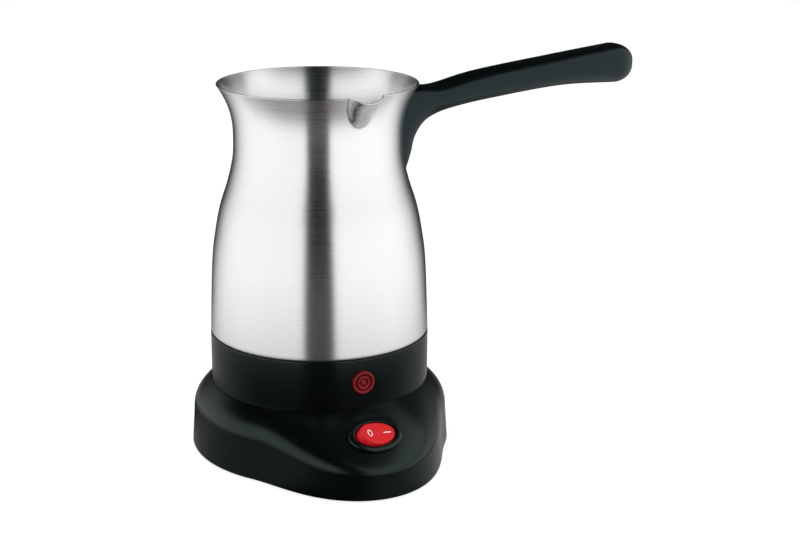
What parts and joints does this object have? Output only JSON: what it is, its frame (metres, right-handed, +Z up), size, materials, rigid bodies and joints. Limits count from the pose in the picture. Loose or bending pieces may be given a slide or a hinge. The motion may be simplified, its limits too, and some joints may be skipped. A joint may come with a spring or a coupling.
{
  "type": "electric turkish coffee maker",
  "caption": "Flared steel coffee pot with a black collar, lamp and side handle, lifting off a round black base that has a lobe with an oval rocker switch.",
  "frame": {"origin": "on the pot's axis, in the plane that the rubber feet stand on", "axes": "+Z up; -Y towards the front, where the switch, lamp and pouring lip are; +X towards the handle"},
  "size_m": [0.2222, 0.1403, 0.1764],
  "materials": {
    "base_plastic": "fine satin, moulded",
    "plate_plastic": "matte, moulded",
    "feet_rubber": "matte",
    "screw_steel": "zinc plated",
    "connector_plastic": "matte, heat resistant",
    "contact_brass": "plain",
    "bezel_plastic": "semi gloss",
    "lead_insulation": "silicone sleeve",
    "gland_rubber": "matte",
    "rocker_plastic": "translucent red, semi gloss",
    "pot_steel": "brushed round the pot",
    "collar_plastic": "satin gloss",
    "seal_rubber": "matte",
    "plate_aluminium": "cast",
    "element_steel": "dull",
    "lens_plastic": "translucent red, ringed",
    "lamp_glass": "clear",
    "handle_plastic": "satin, moulded"
  },
  "bodies": {
    "base": {"base_housing": "base_plastic", "base_plate": "plate_plastic", "rubber_feet": "feet_rubber", "base_screws": "screw_steel", "base_connector": "connector_plastic", "connector_sockets": "contact_brass", "switch_frame": "bezel_plastic", "switch_terminals": "contact_brass", "switch_lead": "lead_insulation", "cord_gland": "gland_rubber"},
    "rocker": {"rocker": "rocker_plastic"},
    "pot": {"pot_shell": "pot_steel", "pot_collar": "collar_plastic", "pot_seal": "seal_rubber", "collar_cover": "plate_plastic", "cover_posts": "screw_steel", "cover_screws": "screw_steel", "pot_connector": "connector_plastic", "connector_pins": "contact_brass", "connector_screws": "screw_steel", "heat_plate": "plate_aluminium", "heating_element": "element_steel", "element_pins": "element_steel", "thermostat": "plate_aluminium", "thermal_fuse": "plate_aluminium", "fuse_clip": "element_steel", "pot_leads": "lead_insulation", "indicator_lens": "lens_plastic", "lamp_clip": "element_steel", "neon_lamp": "lamp_glass", "handle": "handle_plastic", "handle_bracket": "element_steel", "handle_screw": "screw_steel"}
  },
  "joints": [
    {"name": "pot_lift", "type": "slide", "parent": "base", "child": "pot", "axis": [0, 0, 1], "range_m": [0, 0.09]},
    {"name": "rocker_tip", "type": "hinge", "parent": "base", "child": "rocker", "pos_m": [0, -0.06311, 0.02347], "axis": [0, -0.848, -0.5299], "range_deg": [0, 16]}
  ]
}
